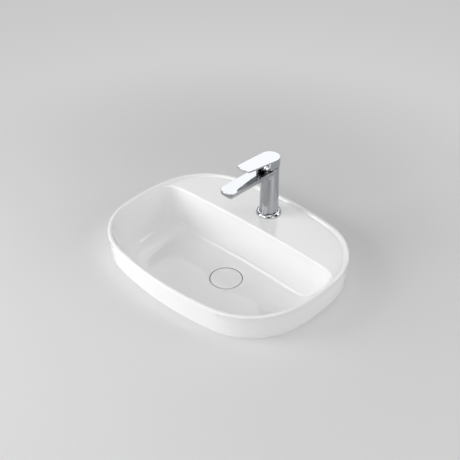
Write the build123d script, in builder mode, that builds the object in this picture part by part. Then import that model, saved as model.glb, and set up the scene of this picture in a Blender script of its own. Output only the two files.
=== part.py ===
"""Inset wash basin with a one-hole lever mixer and a push-to-open waste.

Millimetres. X runs along the basin, -Y is the front, +Z is up.
The origin is on the benchtop, on the axis of the waste.
"""

from build123d import *
from math import atan2, cos, sin, sqrt, tan, pi, radians
import os

os.makedirs("parts", exist_ok=True)

# Basin, seen from above
basin_length = 530.0
basin_width = 410.0
long_side_radius = 745.0
end_radius = 400.0
corner_radius = 150.0
rim_height = 58.0           # rim above the benchtop
rim_width = 8.0
rim_rounding = 3.0
end_lean = 2.0              # how far the outer wall leans in, rim to benchtop, at the ends
side_lean = 5.0             # the same at the long sides
seat_width = 12.0           # ring that stands on the benchtop
wall = 8.0                  # ceramic thickness of the bowl

# Tap landing, the flat shelf behind the bowl
landing_height = 52.0
landing_thickness = 9.0
landing_front = 75.0        # its front edge, from the waste axis
landing_bow = 3200.0        # radius of that edge seen from above
landing_edge_radius = 4.0
landing_corner_radius = 36.0
glaze_step = 0.1            # the rim's inner face stands this far inside the bowl's

# Bowl
floor_height = -60.0        # floor at the waste
floor_fall = 3.0            # how much the floor falls towards the waste
end_draft = 14.0            # degrees from upright
front_draft = 17.0
back_draft = 3.5
end_sweep = 62.0            # radius from wall to floor
front_sweep = 60.0
back_sweep = 16.0
bottom_corner_radius = 62.0
floor_ring_ends = 18.75     # flat ring round the cap's recess, at the ends
floor_ring_front = 7.5
floor_ring_back = 3.75
floor_ring_side_radius = 112.5
floor_ring_end_radius = 52.5
floor_ring_corner_radius = 18.75
shell_top = 14.5            # where the bowl's outer face runs into the rim

# Waste, on the origin's axis
cap_diameter = 72.0
cap_thickness = 6.0
cap_gap = 1.5               # ring between the cap and the ceramic
cap_edge_radius = 0.8
waste_recess_depth = 13.0
waste_hole_diameter = 46.0
waste_boss_diameter = 92.0
waste_boss_height = 24.0    # floor to the underside of the boss
waste_boss_draft = 6.0
waste_thread_diameter = 41.9
waste_bore_diameter = 36.0
waste_flange_diameter = 68.0
waste_flange_thickness = 3.0
waste_tail_length = 63.0    # flange to the lower end
waste_end_chamfer = 1.0
waste_relief_width = 2.0    # plain groove between the back nut's thread and the trap's
waste_relief_depth = 0.8
waste_mouth_width = 3.0     # how far the flange's top is dished inside the seal
flange_gasket_thickness = 1.0
carrier_diameter = 60.0
carrier_thickness = 2.0
carrier_hub_diameter = 18.0
carrier_hub_height = 3.0
plug_seal_inset = 1.0
plug_seal_width = 4.0
plug_seal_thickness = 1.6
plug_travel = 10.0
plunger_diameter = 7.0
plunger_head_diameter = 11.4
plunger_head_height = 4.0
click_housing_diameter = 16.0
click_bore_diameter = 12.0
click_collar_height = 3.0
click_edge = 1.0
click_stand = 1.0           # free height between the barrel and the carrier's hub
click_bore_depth = 23.0
click_floor_thickness = 3.0
click_tail_diameter = 6.0
cross_bar_height = 6.0
cross_bar_width = 3.0
cross_hub_diameter = 14.0
cross_arms = 3
spring_wire = 0.9
spring_diameter = 9.6
spring_turns = 5
spring_wire_sides = 6
lower_gasket_thickness = 5.0
lower_gasket_edge = 2.0
gasket_inset = 0.5          # how far a gasket stays inside the flange over it
slip_washer_thickness = 1.5
waste_ring_diameter = 66.0  # lower gasket and slip washer
back_nut_flats = 56.0
back_nut_height = 9.0

# Tap, on its own axis on the landing
tap_setback = 140.0         # tap axis behind the waste axis
tap_hole_diameter = 35.0
tap_foot_diameter = 44.0
tap_neck_diameter = 39.8
tap_body_height = 123.3
base_ring_diameter = 57.0
base_ring_height = 6.2
base_ring_edge = 1.2
base_ring_floor = 2.0
base_ring_lip = 0.4
base_ring_flare = 7.13      # radius of its hollow flank
base_ring_clearance = 1.0   # round the spigot
base_gasket_thickness = 1.0
tap_spigot_diameter = 32.0
tap_spigot_length = 9.0
inlet_thread_diameter = 9.2
inlet_thread_depth = 14.0
inlet_spacing = 13.0
inlet_setback = -4.5
inlet_bore_diameter = 7.0

# Spout
spout_reach = 145.0
spout_root_width = 39.4
spout_side_radius = 8000.0
spout_side_toe = -0.3       # degrees, how the sides close in where they leave the root
spout_tip_radius = 26.0
spout_corner_radius = 11.5
spout_drop = 1.7            # its flat top, below the top of the column
spout_thickness = 8.2
spout_edge_radius = 1.0
belly_depth = 9.4
belly_inset = 1.0
belly_draft = 38.0
waterway_diameter = 9.0
waterway_drop = 11.1        # its axis, below the spout's top
aerator_setback = 23.0      # aerator axis behind the tip
aerator_diameter = 19.0
aerator_height = 8.0
aerator_wall = 1.4
aerator_lip = 1.0
aerator_seal_thickness = 1.6
aerator_holes = 8
aerator_hole_diameter = 1.8
aerator_hole_circle = 9.6

# Cartridge
chamber_diameter = 35.2
nut_bore_diameter = 36.4
nut_drop = 7.3              # the nut's seat, below the top of the column
nut_height = 6.6
nut_hole_diameter = 27.0
nut_notches = 4
nut_notch_width = 3.0
nut_notch_depth = 2.2
port_seal_thickness = 0.9
port_seal_width = 1.6
port_diameter = 7.0
disc_pocket_diameter = 15.0
disc_pocket_depth = 1.5
cartridge_foot_height = 7.0
cartridge_foot_length = 14.1
disc_thickness = 3.0
fixed_disc_diameter = 29.6
moving_disc_diameter = 22.6
moving_disc_drop = 17.0     # its top, below the pin's axis
coupler_height = 6.0
coupler_floor = 0.5
cartridge_wall = 2.4
cartridge_roof = 3.0
cartridge_window_width = 12.0
cartridge_window_height = 6.5
carrier_flange_height = 5.0
neck_wall = 0.9
neck_height = 5.0
carrier_stand = 1.0         # how far the carrier stands out of the neck
stem_slot_width = 8.6
stem_slot_length = 18.0
pivot_rise = 2.0            # the pin's axis, above the nut's seat
pivot_pin_diameter = 4.0
pivot_pin_length = 23.0
stem_width = 8.0
stem_reach = 26.5           # pivot to the top of the stem
stem_arm = 13.0             # pivot to the ball
stem_ball_diameter = 6.0
stem_shank_diameter = 5.0
stem_eye_diameter = 9.92
stem_lean = 12.5            # degrees forward when the lever is shut

# Dome over the cartridge nut
dome_radius = 19.2
dome_thickness = 1.2
dome_rim_step = 0.2         # how far its rim stands out of the mouth of the body
dome_opening_rise = 15.0    # its opening, above the pivot

# Lever
lever_width = 43.4
lever_side_radius = 1500.0
lever_side_toe = 0.8        # degrees, how the sides close in where they leave the back
lever_tip_radius = 55.0
lever_corner_radius = 6.5
lever_reach = 91.4
lever_top_rise = 30.0       # its top on the tap axis, above the pivot
lever_slope = 4.06          # degrees, rising to the front
lever_tip_thickness = 3.6
lever_root_thickness = 5.0
lever_skirt_gap = 3.3       # between the column and the skirt, on the tap axis
lever_skirt_front = 22.5    # the skirt ends this far ahead of the axis
lever_skirt_bore = 40.8
lever_skirt_slope = 5.0     # degrees, rising to the front
lever_bore_rise = 14.0      # how far the skirt's bore reaches above the pivot
lever_window_width = 34.0   # opening in the front of the skirt
lever_window_drop = 5.0     # its top, below the lever's
lever_boss_diameter = 19.0
lever_boss_setback = -4.5
lever_edge_radius = 1.0
dome_clearance = 1.0
grub_screw_diameter = 5.0
grub_screw_length = 6.0
grub_screw_height = 23.2    # above the pivot, along the stem
grub_key_diameter = 2.5
indicator_diameter = 6.5
indicator_thickness = 2.4
indicator_edge = 0.5
indicator_sink = 0.4        # how deep its face lies in the skirt

# Fixing under the landing
stud_diameter = 8.0
stud_setback = 10.5
stud_depth_in_body = 18.0
stud_length_below = 42.0
stud_edge = 0.8
stud_end_gap = 0.5
clamp_diameter = 48.0
clamp_thickness = 2.5
clamp_slot_width = 24.0
clamp_slot_back = 5.0
rubber_thickness = 3.0
fixing_nut_flats = 13.0
fixing_nut_height = 6.5

# Clearances
running_gap = 0.3           # between pieces that move past each other
fit_gap = 0.1               # between pieces that are assembled once
pin_gap = 0.05              # round a pin that something turns on
overshoot = 1.0             # how far a cutting shape runs past what it cuts


def tangent_centre(first, second, radius, toward=(1, 0)):
    """Centre of the arc of that radius lying inside two circles, on the side that is asked for."""
    (ax, ay, ar), (bx, by, br) = first, second
    near, far = ar - radius, br - radius
    apart = sqrt((bx - ax) ** 2 + (by - ay) ** 2)
    along = (near ** 2 - far ** 2 + apart ** 2) / (2 * apart)
    across = sqrt(near ** 2 - along ** 2)
    ux, uy = (bx - ax) / apart, (by - ay) / apart
    picks = [(ax + along * ux + s * across * uy, ay + along * uy - s * across * ux) for s in (1, -1)]
    x, y = max(picks, key=lambda point: point[0] * toward[0] + point[1] * toward[1])
    return (x, y, radius)


def touch(first, second):
    """Point where one circle touches another from inside."""
    big, small = (first, second) if first[2] > second[2] else (second, first)
    dx, dy = small[0] - big[0], small[1] - big[1]
    apart = sqrt(dx * dx + dy * dy)
    return (big[0] + big[2] * dx / apart, big[1] + big[2] * dy / apart)


def draw_arcs(circles):
    """Closed outline of tangent arcs, one on each circle in turn, anticlockwise, as a face."""
    with BuildLine() as line:
        for place, (x, y, radius) in enumerate(circles):
            before, after = circles[place - 1], circles[(place + 1) % len(circles)]
            start, end = touch(before, (x, y, radius)), touch((x, y, radius), after)
            first = atan2(start[1] - y, start[0] - x)
            middle = first + (atan2(end[1] - y, end[0] - x) - first) % (2 * pi) / 2
            ThreePointArc(start, (x + radius * cos(middle), y + radius * sin(middle)), end)
    make_face(line.edges())


def outline(half_length, front, back, side, ends, corner, back_side, back_corner):
    """Eight arcs: front, front corner, end, back corner, back, and the same again on the left."""
    front_arc = (0, side - front, side)
    end_arc = (half_length - ends, 0, ends)
    back_arc = (0, back - back_side, back_side)
    low = tangent_centre(end_arc, front_arc, corner)
    high = tangent_centre(end_arc, back_arc, back_corner)
    right = [low, end_arc, high]
    left = [(-x, y, r) for x, y, r in reversed(right)]
    return [front_arc, *right, back_arc, *left]


def paddle(back, side, toe, reach, tip, corner, inset=0.0):
    """Six arcs: a blunt rounded tip at -Y, two long sides and a round back centred on the axis."""
    toe = radians(toe)
    side_arc = ((back - side) * cos(toe), (side - back) * sin(toe), side)
    tip_arc = (0, tip - reach, tip)
    corner_arc = tangent_centre(side_arc, tip_arc, corner, toward=(0, -1))
    right = [corner_arc, side_arc]
    left = [(-x, y, r) for x, y, r in reversed(right)]
    return [(x, y, r - inset) for x, y, r in [tip_arc, *right, (0, 0, back), *left]]


def draw_oval(end_inset, side_inset):
    """The basin's own outline, drawn in by so much at the ends and at the long sides."""
    mean = (end_inset + side_inset) / 2
    depth = basin_width / 2 - side_inset
    draw_arcs(outline(basin_length / 2 - end_inset, depth, depth, long_side_radius - mean,
                      end_radius - mean, corner_radius - mean, long_side_radius - mean, corner_radius - mean))


floor_edge = floor_height + floor_fall


def wall_inset(height, top, draft, sweep):
    """How far a bowl wall has come in at a height: a straight draft that sweeps into the floor."""
    lean = radians(draft)
    turn = floor_edge + sweep * (1 - sin(lean))
    if height >= turn:
        return (top - height) * tan(lean)
    drop = min(1, (floor_edge + sweep - height) / sweep)
    return (top - turn) * tan(lean) + sweep * (cos(lean) - sqrt(1 - drop * drop))


def edge_rounding(height):
    """How far the landing's rounded front edge stands back at a height."""
    below = landing_height - height
    if below >= landing_edge_radius:
        return 0
    return landing_edge_radius - sqrt(landing_edge_radius ** 2 - (landing_edge_radius - below) ** 2)


def draw_bowl(height, grow=0):
    """The bowl's outline at a height, grown by the wall for its outer face."""
    end_in = wall_inset(height, rim_height, end_draft, end_sweep)
    front_in = wall_inset(height, rim_height, front_draft, front_sweep)
    back_in = wall_inset(height, landing_height, back_draft, back_sweep)
    mean = rim_width + (end_in + front_in) / 2
    share = end_in / wall_inset(floor_edge, rim_height, end_draft, end_sweep)
    back_corner = landing_corner_radius + (bottom_corner_radius - landing_corner_radius) * share
    back = landing_front - back_in + (0 if grow else edge_rounding(height))
    length = basin_length / 2 - rim_width - end_in
    front = basin_width / 2 - rim_width - front_in
    draw_arcs(outline(length + grow, front + grow, back + grow, long_side_radius - mean + grow,
                      end_radius - mean + grow, corner_radius - mean + grow, landing_bow, back_corner + grow))


# Basin: one piece of glazed fireclay. The rim stands on the benchtop and the bowl hangs through it.
sweep_angles = (90, 80, 70, 60, 50, 38, 26, end_draft)
sweep_heights = [floor_edge + end_sweep * (1 - sin(radians(angle))) for angle in sweep_angles]
edge_heights = [landing_height - landing_edge_radius * (1 - cos(radians(angle))) for angle in (90, 60, 35, 0)]
cap_radius = cap_diameter / 2
recess_radius = cap_radius + cap_gap
recess_floor = floor_height - waste_recess_depth
boss_bottom = floor_height - waste_boss_height
lip_draft = tan(radians(end_draft))

with BuildPart() as basin:
    with BuildSketch():
        draw_oval(end_lean, side_lean)
    with BuildSketch(Plane.XY.offset(rim_height)):
        draw_oval(0, 0)
    loft(ruled=True)
    # Outer face of the bowl, below the benchtop
    for height in [h for h in sweep_heights if h < shell_top] + [shell_top]:
        drop = wall * (shell_top - height) / (shell_top - floor_edge)
        with BuildSketch(Plane.XY.offset(height - drop)):
            draw_bowl(height, wall)
    loft(ruled=True)
    with BuildSketch(Plane.XY.offset(boss_bottom)):
        Circle(waste_boss_diameter / 2)
    extrude(amount=floor_edge - wall / 2 - boss_bottom, taper=-waste_boss_draft)
    # Pocket under the landing, open from below for the tap's fixing
    with BuildSketch():
        draw_oval(end_lean + seat_width, side_lean + seat_width)
        with Locations((0, landing_front + wall)):
            Rectangle(basin_length, basin_width, align=(Align.CENTER, Align.MIN), mode=Mode.INTERSECT)
    extrude(amount=landing_height - landing_thickness, mode=Mode.SUBTRACT)
    # Landing, sunk inside the raised rim
    with BuildSketch(Plane.XY.offset(landing_height)):
        lip = rim_width + glaze_step + (rim_height - landing_height) * lip_draft
        draw_oval(lip, lip)
    with BuildSketch(Plane.XY.offset(rim_height)):
        draw_oval(rim_width + glaze_step, rim_width + glaze_step)
    loft(ruled=True, mode=Mode.SUBTRACT)
    fillet(basin.faces().sort_by(Axis.Z)[-1].edges(), rim_rounding)
    # Bowl
    with BuildSketch(Plane.XY.offset(floor_height)):
        draw_arcs(outline(recess_radius + floor_ring_ends, recess_radius + floor_ring_front,
                          recess_radius + floor_ring_back, floor_ring_side_radius, floor_ring_end_radius,
                          floor_ring_corner_radius, landing_bow, floor_ring_corner_radius))
    for height in sweep_heights + edge_heights:
        with BuildSketch(Plane.XY.offset(height)):
            draw_bowl(height)
    loft(ruled=True, mode=Mode.SUBTRACT)
    # Recess and hole for the waste, and the hole for the tap
    with BuildSketch(Plane.XY.offset(recess_floor)):
        Circle(recess_radius)
    extrude(amount=waste_recess_depth, mode=Mode.SUBTRACT)
    with BuildSketch(Plane.XY.offset(boss_bottom)):
        Circle(waste_hole_diameter / 2)
    extrude(amount=recess_floor - boss_bottom, mode=Mode.SUBTRACT)
    with BuildSketch(Plane.XY.offset(landing_height)):
        with Locations((0, tap_setback)):
            Circle(tap_hole_diameter / 2)
    extrude(amount=-landing_thickness, mode=Mode.SUBTRACT)

basin.part.label = "basin"
export_step(basin.part, "parts/basin.step")


def finish(piece, name):
    """Names a finished piece and writes it to its own file."""
    piece.part.label = name
    export_step(piece.part, f"parts/{name}.step")


def ring(level, height, outer, inner=0.0, mode=Mode.ADD):
    """A disc or ring of those diameters, standing on a plane."""
    with BuildSketch(level) as face:
        Circle(outer / 2)
        if inner:
            Circle(inner / 2, mode=Mode.SUBTRACT)
    extrude(face.sketch, amount=height, mode=mode)


def turned(points, setback=0.0, mode=Mode.ADD):
    """A turned shape from its half section, given as radius and height."""
    with BuildSketch(Plane((0, setback, 0), x_dir=(1, 0, 0), z_dir=(0, -1, 0))) as section:
        with BuildLine():
            Polyline(*points, close=True)
        make_face()
    revolve(section.sketch, axis=Axis((0, setback, 0), (0, 0, 1)), mode=mode)


def hexagon(level, height, flats, hole):
    """A plain hexagon nut standing on a plane."""
    with BuildSketch(level) as face:
        RegularPolygon(flats / 2, 6, major_radius=False)
        Circle(hole / 2, mode=Mode.SUBTRACT)
    extrude(face.sketch, amount=height)


# Heights down the waste
cap_low = floor_height - cap_thickness
carrier_low = cap_low - carrier_thickness
carrier_hub_low = carrier_low - carrier_hub_height
flange_low = recess_floor + flange_gasket_thickness
flange_top = flange_low + waste_flange_thickness
plug_seal_low = flange_top + running_gap
click_top = carrier_hub_low - click_stand
click_bore_top = click_top - click_collar_height
click_bore_low = click_bore_top - click_bore_depth
click_low = click_bore_low - click_floor_thickness
plunger_head_top = click_bore_top - plug_travel - 2 * running_gap
plunger_head_low = plunger_head_top - plunger_head_height
cross_bar_low = click_low - cross_bar_height
waste_low = flange_top - waste_tail_length
lower_gasket_low = boss_bottom - lower_gasket_thickness
slip_washer_low = lower_gasket_low - slip_washer_thickness
back_nut_low = slip_washer_low - back_nut_height
relief_top = back_nut_low - waste_end_chamfer
waste_pass = waste_thread_diameter + 2 * running_gap
plug_seal_outer = carrier_diameter - 2 * plug_seal_inset
plug_seal_inner = plug_seal_outer - 2 * plug_seal_width

# Ceramic cap, flush with the floor of the bowl when the waste is shut
with BuildPart() as plug_cap:
    ring(Plane.XY.offset(cap_low), cap_thickness, cap_diameter)
    fillet(plug_cap.faces().sort_by(Axis.Z)[-1].edges(), cap_edge_radius)
    chamfer(plug_cap.faces().sort_by(Axis.Z)[0].edges(), cap_edge_radius / 2)
finish(plug_cap, "plug_cap")

# Metal dish that the cap is bonded to, grooved for its seal and bored for the plunger
with BuildPart() as plug_carrier:
    ring(Plane.XY.offset(carrier_low), carrier_thickness, carrier_diameter)
    ring(Plane.XY.offset(carrier_hub_low), carrier_hub_height, carrier_hub_diameter)
    ring(Plane.XY.offset(carrier_low), plug_seal_low + plug_seal_thickness - carrier_low,
         plug_seal_outer + fit_gap, plug_seal_inner - fit_gap, Mode.SUBTRACT)
    ring(Plane.XY.offset(carrier_hub_low), carrier_hub_height + carrier_thickness / 2,
         plunger_diameter + fit_gap, mode=Mode.SUBTRACT)
finish(plug_carrier, "plug_carrier")

with BuildPart() as plug_seal:
    ring(Plane.XY.offset(plug_seal_low), plug_seal_thickness, plug_seal_outer, plug_seal_inner)
finish(plug_seal, "plug_seal")

# Plunger of the push-to-open catch, screwed into the carrier
with BuildPart() as plug_plunger:
    ring(Plane.XY.offset(plunger_head_low), plunger_head_height, plunger_head_diameter)
    ring(Plane.XY.offset(plunger_head_top), carrier_low + carrier_thickness / 2 - plunger_head_top,
         plunger_diameter)
    chamfer(plug_plunger.faces().sort_by(Axis.Z)[0].edges(), running_gap * 2)
finish(plug_plunger, "plug_plunger")

# Barrel of the catch, screwed into the cross bar of the waste
with BuildPart() as click_barrel:
    ring(Plane.XY.offset(click_low), click_top - click_low, click_housing_diameter)
    ring(Plane.XY.offset(click_bore_low), click_bore_depth, click_bore_diameter, mode=Mode.SUBTRACT)
    ring(Plane.XY.offset(click_bore_top), click_collar_height, plunger_diameter + 2 * running_gap,
         mode=Mode.SUBTRACT)
    ring(Plane.XY.offset(cross_bar_low - click_floor_thickness), cross_bar_height + click_floor_thickness,
         click_tail_diameter)
    chamfer(click_barrel.faces().sort_by(Axis.Z)[-1].edges().sort_by(SortBy.LENGTH)[-1], click_edge)
finish(click_barrel, "click_barrel")

# Spring that lifts the plug, shown as it lies when the plug is shut
spring_room = plunger_head_low - click_bore_low - 2 * fit_gap
spring_rise = spring_room - spring_wire
spring_start = click_bore_low + fit_gap + spring_wire / 2
with BuildPart() as click_spring:
    with BuildLine() as coil:
        Helix(spring_rise / spring_turns, spring_rise, (spring_diameter - spring_wire) / 2,
              center=(0, 0, spring_start))
    with BuildSketch(Plane(coil.line @ 0, z_dir=coil.line % 0)) as wire:
        RegularPolygon(spring_wire / 2, spring_wire_sides)
    sweep(wire.sketch, path=coil.line, is_frenet=True)
finish(click_spring, "click_spring")

# Waste body: flange, threaded tube and the cross bar that carries the catch
thread = waste_thread_diameter / 2
relief = thread - waste_relief_depth
rim = waste_flange_diameter / 2
with BuildPart() as waste_body:
    turned([(waste_bore_diameter / 2, waste_low), (thread - waste_end_chamfer, waste_low),
            (thread, waste_low + waste_end_chamfer), (thread, relief_top - waste_relief_width),
            (relief, relief_top - waste_relief_width), (relief, relief_top), (thread, relief_top),
            (thread, flange_low), (rim, flange_low), (rim, flange_top - waste_end_chamfer),
            (rim - waste_end_chamfer, flange_top), (plug_seal_inner / 2 - waste_mouth_width, flange_top),
            (waste_bore_diameter / 2, flange_low)])
    ring(Plane.XY.offset(cross_bar_low), cross_bar_height, cross_hub_diameter)
    with BuildSketch(Plane.XY.offset(cross_bar_low)):
        with PolarLocations(0, cross_arms, start_angle=90):
            Rectangle(waste_bore_diameter / 2 + overshoot, cross_bar_width, align=(Align.MIN, Align.CENTER))
    extrude(amount=cross_bar_height)
    ring(Plane.XY.offset(cross_bar_low), cross_bar_height, click_tail_diameter + fit_gap, mode=Mode.SUBTRACT)
finish(waste_body, "waste_body")

with BuildPart() as waste_flange_gasket:
    ring(Plane.XY.offset(recess_floor), flange_gasket_thickness,
         waste_flange_diameter - 2 * gasket_inset, waste_pass)
finish(waste_flange_gasket, "waste_flange_gasket")

with BuildPart() as waste_lower_gasket:
    ring(Plane.XY.offset(lower_gasket_low), lower_gasket_thickness, waste_ring_diameter, waste_pass)
    chamfer(waste_lower_gasket.faces().sort_by(Axis.Z)[-1].edges().sort_by(SortBy.LENGTH)[-1],
            lower_gasket_edge)
finish(waste_lower_gasket, "waste_lower_gasket")

with BuildPart() as waste_slip_washer:
    ring(Plane.XY.offset(slip_washer_low), slip_washer_thickness, waste_ring_diameter, waste_pass)
finish(waste_slip_washer, "waste_slip_washer")

with BuildPart() as waste_back_nut:
    hexagon(Plane.XY.offset(back_nut_low), back_nut_height, back_nut_flats,
            waste_thread_diameter + 2 * fit_gap)
finish(waste_back_nut, "waste_back_nut")


def tap_level(height):
    """Level plane across the tap's axis, at a height above the landing."""
    return Plane((0, tap_setback, landing_height + height))


def tap_turned(points, mode=Mode.ADD):
    """A shape turned on the tap's axis, its heights counted from the landing."""
    turned([(radius, landing_height + height) for radius, height in points], tap_setback, mode)


# Upright plane down the middle of the tap: its X runs forward and its Y up
tap_side = Plane((0, tap_setback, landing_height), x_dir=(0, -1, 0), z_dir=(-1, 0, 0))

# Heights up the tap, from the landing
ring_top = base_gasket_thickness + base_ring_height
foot = base_gasket_thickness + base_ring_floor
spigot_low = foot - tap_spigot_length
deck_low = -landing_thickness
rubber_low = deck_low - rubber_thickness
clamp_low = rubber_low - clamp_thickness
fixing_nut_low = clamp_low - fixing_nut_height
spout_top = tap_body_height - spout_drop
spout_low = spout_top - spout_thickness
belly_low = spout_low - belly_depth
waterway_height = spout_top - waterway_drop
nut_seat = tap_body_height - nut_drop
pivot_height = nut_seat + pivot_rise
moving_top = pivot_height - moving_disc_drop
disc_top = moving_top - disc_thickness
disc_seat = disc_top - disc_thickness
foot_low = disc_seat - cartridge_foot_length
chamber_floor = foot_low - port_seal_thickness
inlets = [(-inlet_spacing / 2, inlet_setback), (inlet_spacing / 2, inlet_setback)]

with BuildPart() as tap_base_gasket:
    ring(tap_level(0), base_gasket_thickness, base_ring_diameter - 4 * gasket_inset,
         tap_spigot_diameter + 2 * base_ring_clearance)
finish(tap_base_gasket, "tap_base_gasket")

# Flared ring that the tap's foot stands in
ring_bore = tap_spigot_diameter / 2 + base_ring_clearance
ring_socket = tap_foot_diameter / 2 + fit_gap
ring_outer = base_ring_diameter / 2
ring_low = base_gasket_thickness
ring_edge = (ring_outer, ring_low + base_ring_edge)
with BuildPart() as tap_base_ring:
    with BuildSketch(Plane((0, tap_setback, landing_height), x_dir=(1, 0, 0), z_dir=(0, -1, 0))):
        with BuildLine():
            Polyline((ring_socket + base_ring_lip, ring_top), (ring_socket, ring_top), (ring_socket, foot),
                     (ring_bore, foot), (ring_bore, ring_low), (ring_outer, ring_low), ring_edge)
            RadiusArc(ring_edge, (ring_socket + base_ring_lip, ring_top), -base_ring_flare)
        make_face()
    revolve(axis=Axis((0, tap_setback, 0), (0, 0, 1)))
finish(tap_base_ring, "tap_base_ring")


def spout_plan(inset=0.0):
    """Plan of the spout, drawn in by so much all round."""
    draw_arcs(paddle(spout_root_width / 2, spout_side_radius, spout_side_toe, spout_reach, spout_tip_radius,
                     spout_corner_radius, inset))


aerator_ahead = spout_reach - aerator_setback
aerator_low = belly_low - aerator_lip
aerator_top = aerator_low + aerator_height

# Tap body: tapered column, spout, cartridge chamber and waterways, cast in one
with BuildPart() as tap_body:
    with BuildSketch(tap_level(spout_low)):
        spout_plan()
    extrude(amount=spout_thickness)
    fillet(tap_body.faces().sort_by(Axis.Z)[-1].edges(), spout_edge_radius)
    with BuildSketch(tap_level(spout_low)):
        spout_plan(belly_inset)
    with BuildSketch(tap_level(belly_low)):
        spout_plan(belly_inset + belly_depth * tan(radians(belly_draft)))
    loft(ruled=True)
    tap_turned([(0, foot), (tap_foot_diameter / 2, foot), (tap_neck_diameter / 2, tap_body_height),
                (0, tap_body_height)])
    ring(tap_level(spigot_low), tap_spigot_length, tap_spigot_diameter)
    # Cartridge chamber and its threaded mouth
    ring(tap_level(chamber_floor), tap_body_height - chamber_floor, chamber_diameter, mode=Mode.SUBTRACT)
    ring(tap_level(nut_seat), tap_body_height - nut_seat, nut_bore_diameter, mode=Mode.SUBTRACT)
    # Waterway along the spout, and the aerator's socket
    with BuildSketch(Plane((0, tap_setback, landing_height + waterway_height), z_dir=(0, -1, 0))):
        Circle(waterway_diameter / 2)
    extrude(amount=aerator_ahead, mode=Mode.SUBTRACT)
    with BuildSketch(tap_level(belly_low)):
        with Locations((0, -aerator_ahead)):
            Circle(aerator_diameter / 2 + fit_gap)
    extrude(amount=aerator_top + aerator_seal_thickness - belly_low, mode=Mode.SUBTRACT)
    # Inlets from below
    with BuildSketch(tap_level(spigot_low)):
        with Locations(*inlets):
            Circle(inlet_bore_diameter / 2)
    extrude(amount=chamber_floor - spigot_low, mode=Mode.SUBTRACT)
    with BuildSketch(tap_level(spigot_low)):
        with Locations(*inlets):
            Circle(inlet_thread_diameter / 2)
    extrude(amount=inlet_thread_depth, mode=Mode.SUBTRACT)
    with BuildSketch(tap_level(spigot_low)):
        with Locations((0, stud_setback)):
            Circle(stud_diameter / 2 + fit_gap)
    extrude(amount=stud_depth_in_body, mode=Mode.SUBTRACT)
finish(tap_body, "tap_body")

# Aerator in the underside of the tip
with BuildPart() as aerator_housing:
    with BuildSketch(tap_level(aerator_low)):
        with Locations((0, -aerator_ahead)):
            Circle(aerator_diameter / 2)
            Circle(aerator_diameter / 2 - aerator_wall, mode=Mode.SUBTRACT)
    extrude(amount=aerator_height)
finish(aerator_housing, "aerator_housing")

with BuildPart() as aerator_insert:
    with BuildSketch(tap_level(aerator_low + aerator_lip)):
        with Locations((0, -aerator_ahead)):
            Circle(aerator_diameter / 2 - aerator_wall - fit_gap)
            with PolarLocations(aerator_hole_circle / 2, aerator_holes):
                Circle(aerator_hole_diameter / 2, mode=Mode.SUBTRACT)
    extrude(amount=aerator_height - aerator_lip)
finish(aerator_insert, "aerator_insert")

with BuildPart() as aerator_seal:
    with BuildSketch(tap_level(aerator_top)):
        with Locations((0, -aerator_ahead)):
            Circle(aerator_diameter / 2)
            Circle(aerator_diameter / 2 - aerator_wall * 2, mode=Mode.SUBTRACT)
    extrude(amount=aerator_seal_thickness)
finish(aerator_seal, "aerator_seal")

# Cartridge: foot, fixed disc, moving disc, coupler, turning carrier and its housing
cartridge_inner = chamber_diameter - 2 * fit_gap - 2 * cartridge_wall
housing_low = foot_low + cartridge_foot_height
housing_outer = chamber_diameter - 2 * fit_gap
coupler_top = moving_top + coupler_height
roof_low = nut_seat - cartridge_roof
carrier_flange_low = coupler_top + running_gap
neck_outer = nut_hole_diameter - 2 * running_gap
neck_inner = neck_outer - 2 * neck_wall
carrier_top = nut_seat + neck_height + carrier_stand
disc_offset = stem_arm * sin(radians(stem_lean))

with BuildPart() as cartridge_port_seals:
    with BuildSketch(tap_level(chamber_floor)):
        with Locations(*inlets):
            Circle(port_diameter / 2 + port_seal_width)
            Circle(port_diameter / 2, mode=Mode.SUBTRACT)
    extrude(amount=port_seal_thickness)
finish(cartridge_port_seals, "cartridge_port_seals")

with BuildPart() as cartridge_foot:
    ring(tap_level(foot_low), cartridge_foot_height, housing_outer)
    ring(tap_level(housing_low), disc_seat - housing_low, cartridge_inner - 2 * fit_gap)
    with BuildSketch(tap_level(foot_low)):
        with Locations(*inlets):
            Circle(port_diameter / 2 - fit_gap)
    extrude(amount=disc_seat - foot_low, mode=Mode.SUBTRACT)
finish(cartridge_foot, "cartridge_foot")

with BuildPart() as cartridge_fixed_disc:
    ring(tap_level(disc_seat), disc_thickness, fixed_disc_diameter)
    with BuildSketch(tap_level(disc_seat)):
        with Locations(*inlets):
            Circle(port_diameter / 2 - fit_gap)
    extrude(amount=disc_thickness, mode=Mode.SUBTRACT)
finish(cartridge_fixed_disc, "cartridge_fixed_disc")

with BuildPart() as cartridge_moving_disc:
    with BuildSketch(tap_level(disc_top)):
        with Locations((0, disc_offset)):
            Circle(moving_disc_diameter / 2)
    extrude(amount=disc_thickness)
    with BuildSketch(tap_level(disc_top)):
        with Locations((0, disc_offset)):
            Circle(disc_pocket_diameter / 2)
    extrude(amount=disc_pocket_depth, mode=Mode.SUBTRACT)
finish(cartridge_moving_disc, "cartridge_moving_disc")

with BuildPart() as cartridge_coupler:
    with BuildSketch(tap_level(moving_top)):
        with Locations((0, disc_offset)):
            Circle(moving_disc_diameter / 2)
    extrude(amount=coupler_height)
    with BuildSketch(tap_level(moving_top + coupler_floor)):
        with Locations((0, disc_offset)):
            Circle(stem_ball_diameter / 2 + running_gap)
    extrude(amount=coupler_height, mode=Mode.SUBTRACT)
finish(cartridge_coupler, "cartridge_coupler")

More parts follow.
